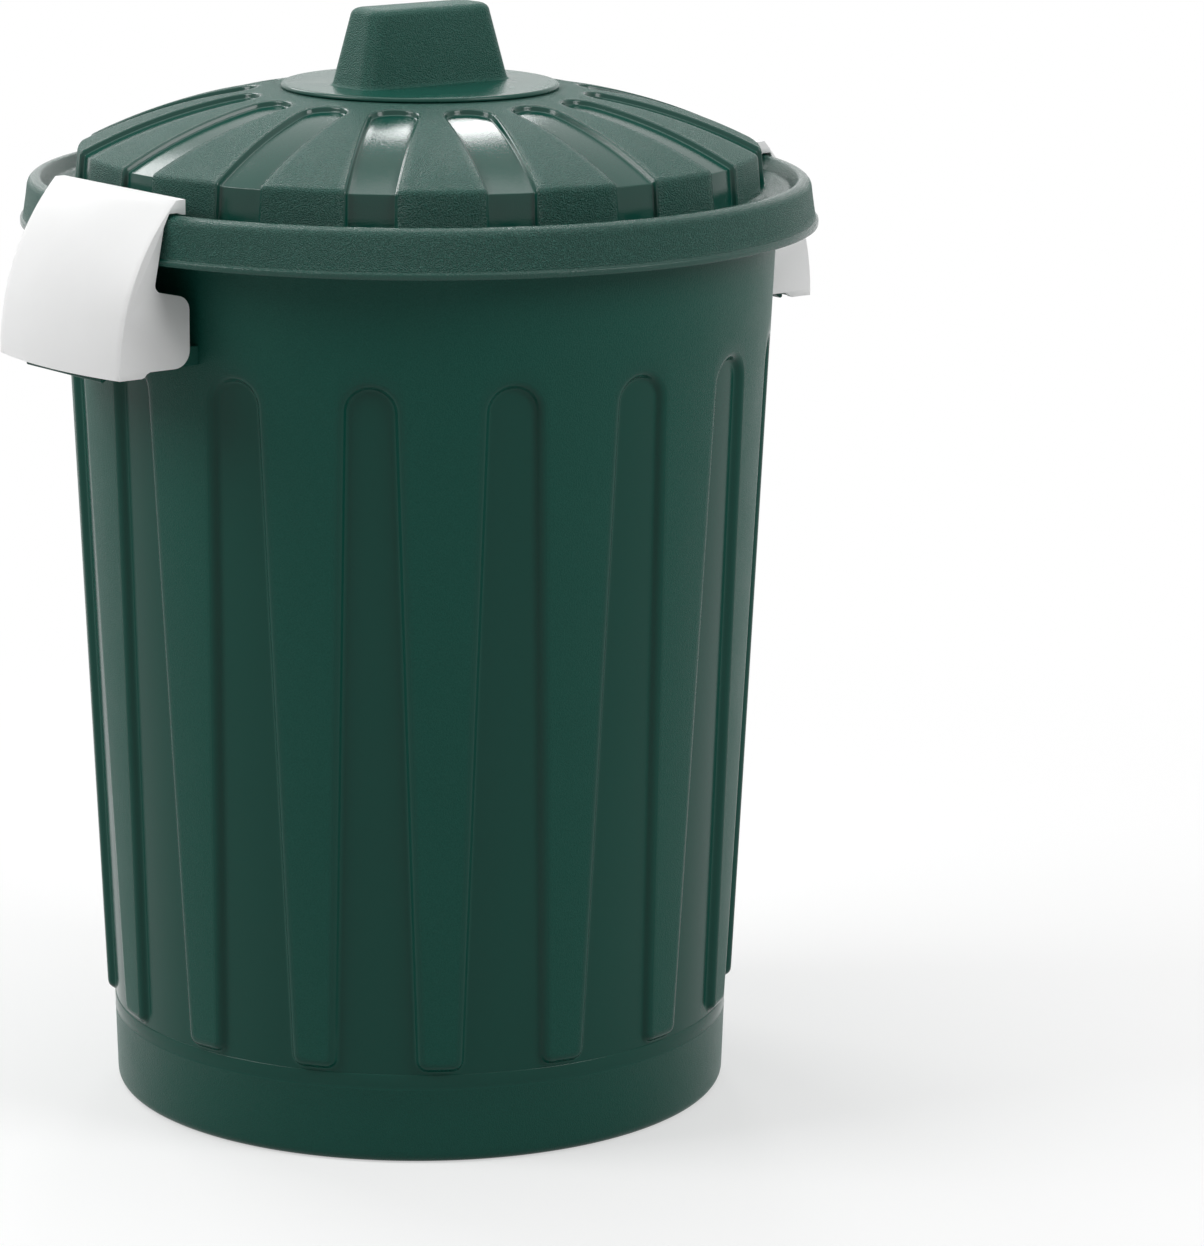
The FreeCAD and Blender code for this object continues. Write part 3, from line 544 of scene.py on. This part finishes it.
def rounded_corner(before, corner, after, radius, steps):
    """A section's corner replaced by an arc that touches both of its sides."""
    ax, az = before[0] - corner[0], before[1] - corner[1]
    bx, bz = after[0] - corner[0], after[1] - corner[1]
    la, lb = math.hypot(ax, az), math.hypot(bx, bz)
    ax, az, bx, bz = ax / la, az / la, bx / lb, bz / lb
    half = math.acos(max(-1.0, min(1.0, ax * bx + az * bz))) / 2
    reach = radius / math.tan(half)
    mx, mz = ax + bx, az + bz
    ml = math.hypot(mx, mz)
    centre = (corner[0] + mx / ml * radius / math.sin(half),
              corner[1] + mz / ml * radius / math.sin(half))
    first = math.atan2(corner[1] + az * reach - centre[1], corner[0] + ax * reach - centre[0])
    last = math.atan2(corner[1] + bz * reach - centre[1], corner[0] + bx * reach - centre[0])
    sweep = (last - first + math.pi) % (2 * math.pi) - math.pi
    return [(centre[0] + radius * math.cos(first + sweep * s / steps),
             centre[1] + radius * math.sin(first + sweep * s / steps)) for s in range(steps + 1)]


# the ribs' section from the wall's foot over the shoulder to the flat middle
dome_arc = arc_between(WALL_TOP, DOME_TOP, DOME_RADIUS, 30)
shoulder = rounded_corner((WALL_FOOT_RADIUS, GUTTER), WALL_TOP, dome_arc[1], 3.6, 7)
wall_lean, wall_height = 1.9, 21.0
dome_line = ([(WALL_FOOT_RADIUS - wall_lean * share, GUTTER + wall_height * share)
              for share in (0.04, 0.3, 0.6, 0.8)]
             + shoulder + [p for p in dome_arc if DOME_TOP[0] < p[0] < shoulder[-1][0] - 1.0])


def dome_point(place):
    """Point and outward normal of the ribs' section at a place along dome_line."""
    index = min(int(place), len(dome_line) - 2)
    share = place - index
    (x0, z0), (x1, z1) = dome_line[index], dome_line[index + 1]
    length = math.hypot(x1 - x0, z1 - z0)
    return ((x0 + (x1 - x0) * share, z0 + (z1 - z0) * share),
            ((z1 - z0) / length, -(x1 - x0) / length))


def dome_normal(place):
    """The section's normal, averaged at its corners so that the grooves' floors stay even."""
    index = int(round(place))
    if abs(place - index) > 1e-6 or index in (0, len(dome_line) - 1):
        return dome_point(place)[1]
    before, after = dome_point(place - 0.5)[1], dome_point(place)[1]
    x, z = before[0] + after[0], before[1] + after[1]
    length = math.hypot(x, z)
    return (x / length, z / length)


def place_at_radius(radius):
    """The place along the dome, above the shoulder, with this radius."""
    for index in range(len(dome_line) - 1):
        x0, x1 = dome_line[index][0], dome_line[index + 1][0]
        if x0 >= radius >= x1 and radius < SHOULDER_INSIDE:
            return index + (x0 - radius) / (x0 - x1)
    return len(dome_line) - 1.0


def on_dome(angle, y, place, depth):
    """(angle, radius, z) of a point of the dome, its place round it given by an angle or a y."""
    (radius, z), _ = dome_point(place)
    nx, nz = dome_normal(place)
    if place < 0.5:
        nx, nz = 1.0, 0.0
    radius, z = radius - nx * depth, z - nz * depth
    if angle is None:
        angle = math.asin(min(1.0, y / radius)) if y else 0.0
    return (angle, radius, z)


def half_groove():
    """Rows from the groove's middle line out to the rib's middle line."""
    side_places = [i for i in range(len(dome_line)) if dome_line[i][0] > TIP_CENTRE + 1.0]
    arch_turns = [math.radians(9 * step) for step in range(11)]
    rows = []
    for offset, depth in rounded_step(-0.55, 0.25, GROOVE_DEPTH, 0.8, 1.0):
        half = GROOVE_HALF + offset
        row = [on_dome(None, half, float(i), depth) for i in side_places]
        for turn in arch_turns:
            place = place_at_radius(TIP_CENTRE - half * math.sin(turn))
            row.append(on_dome(None, half * math.cos(turn), place, depth))
        rows.append(row)
    last_side = float(side_places[-1])
    flat_edge = len(dome_line) - 1.0
    inner = [on_dome(0.0, None, float(i), GROOVE_DEPTH) for i in side_places]
    outer = [on_dome(PITCH / 2, None, float(i), 0.0) for i in side_places]
    for index in range(len(arch_turns)):
        share = (index + 1) / len(arch_turns)
        place = place_at_radius(TIP_CENTRE + 0.5 - 9.0 * share)
        inner.append(on_dome(0.0, None, place, GROOVE_DEPTH))
        ahead = index / (len(arch_turns) - 1)
        if ahead <= CORNER_SHARE:
            place = last_side + (flat_edge - last_side) * (0.15 + ahead * 2.125)
            outer.append(on_dome(PITCH / 2, None, place, 0.0))
        else:
            angle = PITCH / 2 * (1 - ahead) / (1 - CORNER_SHARE)
            outer.append(on_dome(angle, None, flat_edge, 0.0))
    return ([inner] + [blended_row(inner, rows[0], share) for share in (0.35, 0.7)] + rows
            + [blended_row(rows[-1], outer, share) for share in (0.2, 0.5, 1.0)])


groove_grid = half_groove()
groove_marks = [1.0] * 10 + [0.5] + [0.0] * 3
wall_foot = [row[0] for row in groove_grid]
middle_edge = [point for point in groove_grid[-1] if abs(point[1] - dome_line[-1][0]) < 0.02]
# the gutter, the rounded crest, the outer band and its lip
crest_inner, crest_outer, band_foot = (199.3, CREST), (205.5, CREST), (208.5, 471.55)
crest_line = (rounded_corner((194.7, GUTTER), crest_inner, crest_outer, 2.4, 4)
              + rounded_corner(crest_inner, crest_outer, band_foot, 5.4, 8))
rim_line = ([(182.6, GUTTER), (184.5, GUTTER - 0.05), (190.0, GUTTER - 0.05), (193.6, GUTTER),
             (194.7, GUTTER + 0.35), (195.3, GUTTER + 0.9)] + crest_line
            + [(206.9, 482.0), (207.9, 475.5), (208.45, 472.2), (208.8, 471.4), (209.5, 471.0),
               (209.9, 470.7), (210.0, 470.2), (210.0, 468.4), (209.8, 468.0)])
rim_marks = [0.9] * 16 + [0.7, 0.4, 0.2, 0.0, 0.0, 0.0, 0.0, 0.3] + [0.9] * 6
middle_line = [(73.0, 537.6), (66.0, 537.6), (60.6, 537.6), (60.3, 537.2)]
lid_grids = [groove_grid, extended(wall_foot, rim_line), extended(middle_edge, middle_line)]
lid_green = moulded_green("lid_grained_green", grain_and_glint=1.0, rib_rough=0.42, floor_rough=0.02,
                          gloss=0.34)
lid = sector_object("lid_shell", lid_grids,
                    [groove_marks, rim_marks, [0.0] * (1 + len(middle_line))])


def points_up(centre, normal):
    """Positive where a face of the dome points up."""
    return normal.z if math.hypot(centre.x, centre.y) < 0.17 else 0.0


lid = repeated(lid, FLUTES, lid_green, points_up)
shade_smooth(lid, 50)
give_wall(lid, LID_WALL)
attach(lid, "lid")
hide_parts("lid")

# ---------------------------------------------------------------- lid grip
# The press-in grip: a glossy round flange with a rounded edge that lies on the lid's flat middle,
# a tapered hand block with a grained face on it, and a snap ring through the lid's hole.

BLOCK_BASE = 540.4
BLOCK_TOP = 580.9
BLOCK_HEIGHT = 40.5
BLOCK_HALF_LENGTH = 48
BLOCK_HALF_WIDTH = 18
BLOCK_NARROWS_ALONG = 10
BLOCK_NARROWS_ACROSS = 4.5
BLOCK_CORNER = 8.0
BLOCK_FLARE = 2.0
BLOCK_EDGE = 4.0


def turned(profile, steps):
    """A section of (radius, z) turned about the axis; radius 0 closes it."""
    turns = [2 * math.pi * step / steps for step in range(steps)]
    points = [(radius * math.cos(turn), radius * math.sin(turn), z)
              for turn in turns for radius, z in profile]
    count = len(profile)
    faces = [(s * count + c, ((s + 1) % steps) * count + c,
              ((s + 1) % steps) * count + c + 1, s * count + c + 1)
             for s in range(steps) for c in range(count - 1)]
    return points, faces


def block_ring(half_length, half_width, corner, z):
    """A rectangle with rounded corners, with points along its straight sides too."""
    points = []
    for quarter, (sx, sy) in enumerate(((1, 1), (-1, 1), (-1, -1), (1, -1))):
        for step in range(9):
            turn = math.radians(90 * quarter + 90 * step / 8)
            points.append((sx * (half_length - corner) + corner * math.cos(turn),
                           sy * (half_width - corner) + corner * math.sin(turn), z))
    return points


def block_section(share, out, corner, z):
    """The block's ring at a share of its height, moved outwards all round."""
    half_length = BLOCK_HALF_LENGTH - BLOCK_NARROWS_ALONG * share + out
    half_width = BLOCK_HALF_WIDTH - BLOCK_NARROWS_ACROSS * share + out
    return block_ring(half_length, half_width, corner, z)


def hand_block():
    """Rings from the flange up, over the rounded top edge, to a slightly crowned top."""
    rings = []
    for rise, out in ((-0.3, 1.8), (0.05, 1.2), (0.35, 0.6), (1.0, 0.15), (BLOCK_FLARE, 0.0)):
        share = max(rise, 0) / BLOCK_HEIGHT
        rings.append(block_section(share, out, BLOCK_CORNER + out, BLOCK_BASE + rise))
    for step in range(1, 9):
        share = (BLOCK_FLARE + (BLOCK_HEIGHT - 6.0) * step / 8) / BLOCK_HEIGHT
        rings.append(block_section(share, 0.0, BLOCK_CORNER, BLOCK_BASE + BLOCK_HEIGHT * share))
    share = (BLOCK_HEIGHT - BLOCK_EDGE) / BLOCK_HEIGHT
    for step in range(1, 8):
        turn = math.radians(90 * step / 7)
        inset = BLOCK_EDGE * (1 - math.cos(turn)) + 0.9 * step / 7
        rings.append(block_section(share, -inset, BLOCK_CORNER - inset * 0.6,
                                   BLOCK_BASE + BLOCK_HEIGHT * share + 3.8 * math.sin(turn)))
    rings.append(block_ring(26.0, 4.0, 3.5, BLOCK_TOP - 0.02))
    count = len(rings[0])
    points = [point for ring in rings for point in ring]
    faces = [(r * count + c, r * count + (c + 1) % count,
              (r + 1) * count + (c + 1) % count, (r + 1) * count + c)
             for r in range(len(rings) - 1) for c in range(count)]
    faces.append(tuple(range((len(rings) - 1) * count, len(rings) * count)))
    faces.append(tuple(range(count - 1, -1, -1)))
    return points, faces


# the underside, the snap ring with its bead, the flange's rounded edge and its top
flange_line = ([(0.0, 537.7), (57.0, 537.7), (57.6, 537.4), (57.6, 530.0), (58.0, 529.6),
                (60.0, 529.6), (61.0, 532.4), (61.2, 533.2), (61.2, 534.8), (60.0, 535.1),
                (60.0, 537.65), (71.6, 537.65), (72.3, 537.9)]
               + arc_profile((71.4, 538.8), 1.6, -18, 90, 9)[:-1]
               + [(71.4, 540.4), (66.0, 540.45), (40.0, 540.45), (0.0, 540.45)])
block_points, block_faces = hand_block()
flange_points, flange_faces = turned(flange_line, 160)
grip = mesh_object("lid_grip_moulding", *gathered([(flange_points, flange_faces),
                                                   (block_points, block_faces)]))
mark_polish(grip.data, [1.0] * len(flange_points) + [0.0] * len(block_points))
clean_mesh(grip.data)
shade_smooth(grip, 40)
grip.data.materials.append(
    moulded_green("grip_green", grain_and_glint=0.6, rib_rough=0.38, floor_rough=0.20, gloss=0.30))
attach(grip, "lid")
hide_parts("lid_grip")

# ---------------------------------------------------------------- clip handles
# Two white clips, one moulding used twice. The curved skin follows the lid's rim, a flat hook
# reaches over the crest, and two cheeks with rounded tabs carry the stub pins inside the ears.

CLIP_HALF = 54.4
CLIP_WALL = 2.0
CLIP_TOP = 500.0
CLIP_LOW = 412.5
HOOK = 187.3
HOOK_LOW = 492.4
SKIN_CURVE = 127.0
SKIN_CENTRE = (107.1, 413.7)
PIN_RADIUS = 3.2
PIN_LENGTH = 5.0
CLIP_TONES = ((0.85, 0.855, 0.85, 1.0), (0.90, 0.905, 0.905, 1.0))


def skin_radius(z):
    """Radius of the clip's outer skin at a height."""
    return SKIN_CENTRE[0] + math.sqrt(SKIN_CURVE ** 2 - (z - SKIN_CENTRE[1]) ** 2)


def clip_shell():
    """Hook, top, skin and both cheeks as one sheet, pointing outwards."""
    across = [CLIP_HALF * (step / 14 - 1) for step in range(29)]
    heights = [CLIP_TOP - (CLIP_TOP - CLIP_LOW) * step / 26 for step in range(27)]
    rows = [[(HOOK, y, z) for y in across] for z in (HOOK_LOW, 496.0, CLIP_TOP)]
    edge = [math.sqrt(skin_radius(CLIP_TOP) ** 2 - y * y) for y in across]
    rows.append([(HOOK + (x - HOOK) * 0.5, y, CLIP_TOP) for x, y in zip(edge, across)])
    rows += [[(math.sqrt(skin_radius(z) ** 2 - y * y), y, z) for y in across] for z in heights]
    points = [point for row in rows for point in row]
    faces = grid_faces(len(rows), len(across))
    for side in (-1, 1):
        border = [(x, z) for x, _, z in (row[0 if side < 0 else -1] for row in rows)]
        start = len(points)
        points += [(x, side * CLIP_HALF, z) for x, z in border + cheek_line()]
        faces.append(tuple(range(start, len(points))))
    return points, faces


def cheek_line():
    """The cheek's free edge from the skin's foot round the tab and the notch to the hook."""
    tab_low, tab_side = (185.6, 415.4), (185.6, 430.0)
    notch_low, notch_top = (185.6, 450.6), (206.6, 455.4)
    rim_side, hook_foot = (200.3, 487.1), (197.1, 493.5)
    line = [(214.6, CLIP_LOW), (212.8, 413.0), (211.6, 414.5), (209.4, 415.4)]
    line += rounded_corner((205.0, 415.4), tab_low, tab_side, 9.0, 8)
    line += rounded_corner(tab_side, notch_low, notch_top, 7.5, 8)
    line += rounded_corner(notch_low, notch_top, rim_side, 4.0, 6)
    line += rounded_corner(notch_top, rim_side, hook_foot, 2.0, 3)
    line += [hook_foot, (192.3, 493.5), (189.3, 492.5)]
    return line


def white_clip():
    """Near-white polypropylene with a soft sheen and faint handling marks."""
    material = bpy.data.materials.new("clip_white")
    material.use_nodes = True
    tree = material.node_tree
    where = add_node(tree, "ShaderNodeTexCoord", "Object", {})
    cloud = noise(tree, where, 26.0, 6.0)
    rough = add_node(tree, "ShaderNodeMapRange", "Result",
                     {"Value": cloud, "To Min": 0.30, "To Max": 0.46})
    fill_inputs(tree, tree.nodes["Principled BSDF"], {
        "IOR": PLASTIC_IOR, "Specular IOR Level": 0.35,
        "Base Color": colour_mix(tree, cloud, *CLIP_TONES), "Roughness": rough,
        "Normal": bumped(tree, noise(tree, where, 420.0), 0.12, 0.0002)})
    return material


clip_white = white_clip()
for side_name, turn in (("right", 0.0), ("left", math.pi)):
    clip = mesh_object("clip_" + side_name, *clip_shell())
    clean_mesh(clip.data, MERGE_GAP, lambda centre, normal: normal.x if centre.x > 0.2 else 0.0)
    give_wall(clip, CLIP_WALL)
    soft_edges(clip, 0.7)
    shade_smooth(clip, 35)
    pins = []
    for side in (-1, 1):
        tip, root = side * (CLIP_HALF - CLIP_WALL - PIN_LENGTH), side * (CLIP_HALF - CLIP_WALL / 2)
        section = [(0.0, tip), (2.7, tip), (PIN_RADIUS, tip + side * 0.5), (PIN_RADIUS, root),
                   (0.0, root)]
        pins.append(tube_along_y(PIVOT, section, 32))
    pin = mesh_object("clip_pins_" + side_name, *gathered(pins))
    clean_mesh(pin.data)
    shade_smooth(pin, 40)
    for thing in (clip, pin):
        thing.data.transform(Matrix.Rotation(turn, 4, "Z"))
        thing.data.materials.append(clip_white)
        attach(thing, "handle_" + side_name)
        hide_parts("handle_" + side_name)

# ---------------------------------------------------------------- floor
# A plain pale studio floor that keeps the bin's soft shadow near it. The camera and mirrored or
# transmitted rays see it white far from the bin; to all other rays it is a mid grey.

FLOOR_HALF = 30000
FLOOR_SEEN = (0.97, 0.97, 0.97, 1.0)
FLOOR_LIT = (0.55, 0.55, 0.55, 1.0)
WHITE = (1.0, 1.0, 1.0, 1.0)


def background_rays(tree):
    """1 for the rays that show the white background: camera, mirrored and transmitted ones."""
    rays = tree.nodes.new("ShaderNodeLightPath").outputs
    mirrored = add_node(tree, "ShaderNodeMath", 0,
                        {0: rays["Is Glossy Ray"], 1: rays["Is Transmission Ray"]},
                        operation="MAXIMUM")
    return add_node(tree, "ShaderNodeMath", 0, {0: rays["Is Camera Ray"], 1: mirrored},
                    operation="MAXIMUM")


floor = mesh_object("studio_floor", [(-FLOOR_HALF, -FLOOR_HALF, 0), (FLOOR_HALF, -FLOOR_HALF, 0),
                                     (FLOOR_HALF, FLOOR_HALF, 0), (-FLOOR_HALF, FLOOR_HALF, 0)],
                    [(0, 1, 2, 3)])
pale_floor = bpy.data.materials.new("pale_floor")
pale_floor.use_nodes = True
tree = pale_floor.node_tree
seen = background_rays(tree)
where = add_node(tree, "ShaderNodeTexCoord", "Object", {})
reach = add_node(tree, "ShaderNodeVectorMath", "Value", {0: where}, operation="LENGTH")
far = add_node(tree, "ShaderNodeMapRange", "Result",
               {"Value": reach, "From Min": 0.2, "From Max": 1.1, "To Min": 0.5},
               interpolation_type="SMOOTHSTEP")
shader = tree.nodes["Principled BSDF"]
fill_inputs(tree, shader, {"Roughness": 0.7, "Specular IOR Level": 0.2,
                           "Base Color": colour_mix(tree, seen, FLOOR_LIT, FLOOR_SEEN)})
white = add_node(tree, "ShaderNodeEmission", 0, {"Color": WHITE, "Strength": 1.0})
mixed = add_node(tree, "ShaderNodeMixShader", 0,
                 {"Fac": times(tree, far, seen), 1: shader.outputs[0], 2: white})
fill_inputs(tree, tree.nodes["Material Output"], {"Surface": mixed})
floor.data.materials.append(pale_floor)

# ---------------------------------------------------------------- light
# White surroundings at strength 1 for the camera and for mirrored and transmitted rays, low for
# the rest. Large soft boxes light the bin from the left, the right, above and behind, and a
# small one is the window that shows in the lid's grooves.

WORLD_FILL = 0.14

world = bpy.data.worlds.new("studio")
bpy.context.scene.world = world
world.use_nodes = True
tree = world.node_tree
strength = add_node(tree, "ShaderNodeMapRange", "Result",
                    {"Value": background_rays(tree), "To Min": WORLD_FILL, "To Max": 1.0})
fill_inputs(tree, tree.nodes["Background"], {"Strength": strength, "Color": WHITE})


def softbox(name, place, target, size, power):
    """A rectangular area lamp of (width, height) metres that faces a target."""
    lamp = bpy.data.lights.new(name, "AREA")
    lamp.shape = "RECTANGLE"
    lamp.size, lamp.size_y = size
    lamp.energy = power
    box = bpy.data.objects.new(name, lamp)
    bpy.context.scene.collection.objects.link(box)
    box.location = place
    box.rotation_mode = "QUATERNION"
    box.rotation_quaternion = (Vector(target) - Vector(place)).to_track_quat("-Z", "Y")


softbox("left_box", (-2.43, 1.09, 2.3), (0.0, 0.0, 0.35), (1.6, 1.8), 60.0)
softbox("right_box", (1.0, -2.35, 2.0), (0.0, 0.0, 0.35), (1.2, 1.6), 38.0)
softbox("top_box", (0.1, 0.2, 2.7), (0.0, 0.0, 0.5), (2.0, 2.0), 24.0)
softbox("back_left_box", (0.0, 2.5, 2.0), (0.0, 0.0, 0.5), (1.4, 1.0), 21.0)
softbox("window_strip", (1.31, 1.64, 1.79), (0.0, 0.0, 0.53), (0.36, 0.66), 5.5)

# ---------------------------------------------------------------- camera
# The photograph's view: a long lens from the front left, a little above the lid, turned and
# tilted a few degrees so that the bin stands where it does in the photograph.

UPWARDS = Vector((0.0, 0.0, 1.0))
AWAY = Vector((-0.6046, -0.7965, 0.0))
DISTANCE = 2.6577
EYE_HEIGHT = 0.8551
YAW, PITCH_DOWN, ROLL = math.radians(2.104), math.radians(12.84), math.radians(0.453)

level = -AWAY * math.cos(YAW) + (-AWAY).cross(UPWARDS) * math.sin(YAW)
look = level * math.cos(PITCH_DOWN) - UPWARDS * math.sin(PITCH_DOWN)
right = look.cross(UPWARDS).normalized()
right = right * math.cos(ROLL) + right.cross(look) * math.sin(ROLL)
up = right.cross(look)
lens = bpy.data.cameras.new("photo_view")
lens.lens = 146.45
lens.sensor_width = 36.0
lens.clip_start, lens.clip_end = 0.05, 100.0
camera = bpy.data.objects.new("photo_view", lens)
bpy.context.scene.collection.objects.link(camera)
camera.matrix_world = Matrix.Translation(AWAY * DISTANCE + UPWARDS * EYE_HEIGHT) @ Matrix(
    (right, up, -look)).transposed().to_4x4()
bpy.context.scene.camera = camera

bpy.context.scene.view_settings.view_transform = "Standard"
